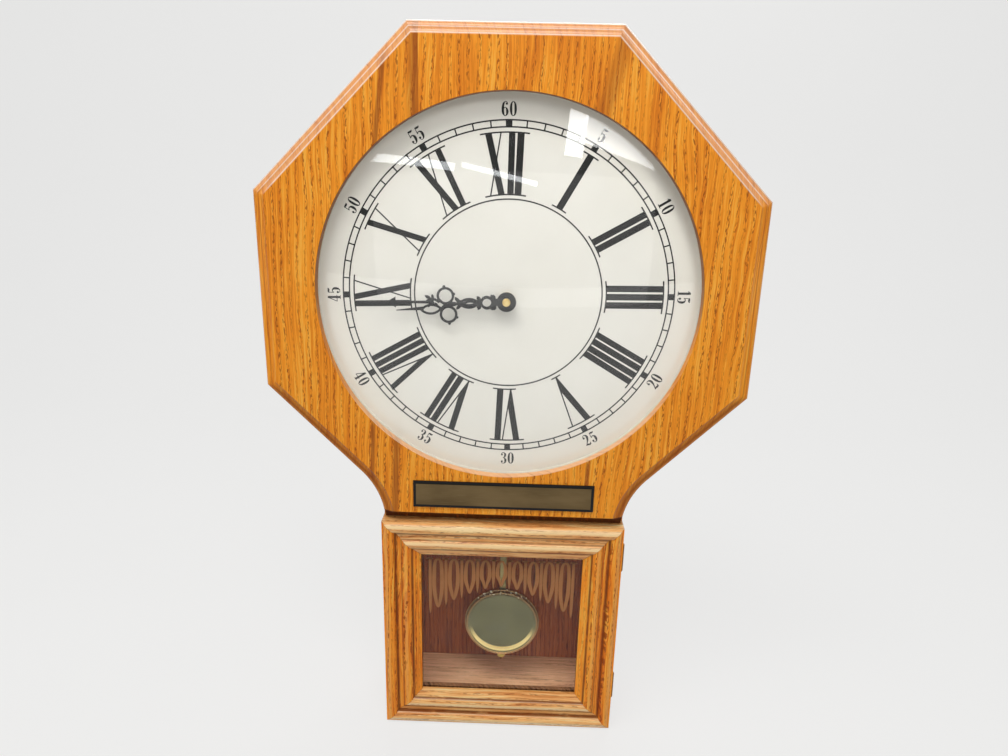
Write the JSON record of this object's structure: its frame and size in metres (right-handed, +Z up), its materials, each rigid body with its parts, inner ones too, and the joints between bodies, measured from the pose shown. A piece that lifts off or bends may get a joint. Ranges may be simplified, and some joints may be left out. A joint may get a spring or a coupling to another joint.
{
  "type": "schoolhouse wall clock",
  "caption": "Octagonal oak wall clock with a white Roman dial under domed glass, pierced black hands and a brass pendulum behind a moulded, hinged glazed door.",
  "frame": {"origin": "middle of the clock's footprint, on the plane it stands on", "axes": "+X to the clock's right as seen from the front, +Y into the wall, +Z up; the dial faces -Y"},
  "size_m": [0.455, 0.117, 0.697],
  "materials": {
    "oak_face": "semi-gloss lacquered oak, vertical grain",
    "oak_case": "satin lacquered oak",
    "oak_door": "semi-gloss lacquered oak, moulded",
    "case_floor": "thinly lacquered wood",
    "dark_panel": "dark stained plywood",
    "dial_white": "matt off-white dial with charcoal print",
    "white_card": "matt",
    "clear_glass": "polished",
    "black_plastic": "fine grained",
    "brown_plastic": "matt",
    "white_plastic": "satin",
    "battery_sleeve": "printed sleeve, bare",
    "brushed_brass": "brushed, darkened",
    "polished_brass": "polished",
    "bob_brass": "mirror polished and lacquered",
    "brass_strip": "satin",
    "hinge_brass": "plated",
    "brass_screws": "plated",
    "black_hand": "satin black",
    "steel": "turned",
    "zinc": "zinc plated",
    "magnet": "dark ferrite"
  },
  "bodies": {
    "case": {"face_board": "oak_face", "case_left_side": "oak_case", "case_right_side": "oak_case", "case_top": "oak_case", "case_bottom": "case_floor", "back_panel": "dark_panel", "back_panel_screws": "zinc", "wall_hanger": "zinc", "hanger_screws": "zinc", "dial_plate": "dial_white", "dial_plate_screws": "brass_screws", "dial_glass": "clear_glass", "glass_spacer_ring": "white_card", "plate_backing": "black_plastic", "bare_plate": "brushed_brass", "movement_case": "black_plastic", "movement_cover": "black_plastic", "movement_bush": "polished_brass", "movement_washer": "polished_brass", "movement_hex_nut": "polished_brass", "battery": "battery_sleeve", "battery_contacts": "zinc", "pendulum_pivot_pin": "steel", "case_hinge_leaves": "hinge_brass", "hinge_pins": "hinge_brass", "case_hinge_screws": "brass_screws", "catch_housing": "brown_plastic", "catch_magnet": "magnet", "catch_screws": "zinc"},
    "door": {"door_top_rail": "oak_door", "door_bottom_rail": "oak_door", "door_left_stile": "oak_door", "door_right_stile": "oak_door", "door_glass": "clear_glass", "glass_retainers": "oak_door", "door_hinge_leaves": "hinge_brass", "door_hinge_screws": "brass_screws", "catch_strike": "steel", "strike_screw": "steel"},
    "minute_hand": {"minute_arbor": "steel", "minute_hand": "black_hand", "hand_nut": "polished_brass", "setting_knob": "black_plastic"},
    "hour_hand": {"hour_tube": "steel", "hour_hand": "black_hand"},
    "pendulum": {"pendulum_driver": "white_plastic", "pendulum_rod": "brass_strip", "rating_rod": "polished_brass"},
    "bob": {"bob_front_shell": "bob_brass", "bob_back_shell": "polished_brass"},
    "rating_nut": {"rating_nut": "polished_brass"}
  },
  "joints": [
    {"name": "door_hinge", "type": "hinge", "parent": "case", "child": "door", "pos_m": [0.1233, -0.0268, 0.12175], "axis": [0, 0, 1], "range_deg": [0, 105]},
    {"name": "minute_turn", "type": "hinge", "parent": "case", "child": "minute_hand", "pos_m": [-0.0018, -0.0401, 0.4655], "axis": [0, 1, 0], "continuous": true},
    {"name": "hour_turn", "type": "hinge", "parent": "case", "child": "hour_hand", "pos_m": [-0.0018, -0.0373, 0.4655], "axis": [0, 1, 0], "continuous": true},
    {"name": "pendulum_swing", "type": "hinge", "parent": "case", "child": "pendulum", "pos_m": [0.0014, -0.0025, 0.4235], "axis": [0, 1, 0], "range_deg": [-4.5, 4.5]},
    {"name": "bob_height", "type": "slide", "parent": "pendulum", "child": "bob", "axis": [0, 0, 1], "range_m": [-0.0014, 0.0014]},
    {"name": "rating_nut_turn", "type": "hinge", "parent": "bob", "child": "rating_nut", "pos_m": [0.0014, -0.0004, 0.0571], "axis": [0, 0, 1], "range_deg": [-720, 720]}
  ],
  "couplings": [
    {"joint": "hour_turn", "follows": "minute_turn", "ratio": 0.083333},
    {"joint": "rating_nut_turn", "follows": "bob_height", "rad_per_m": 8976}
  ]
}
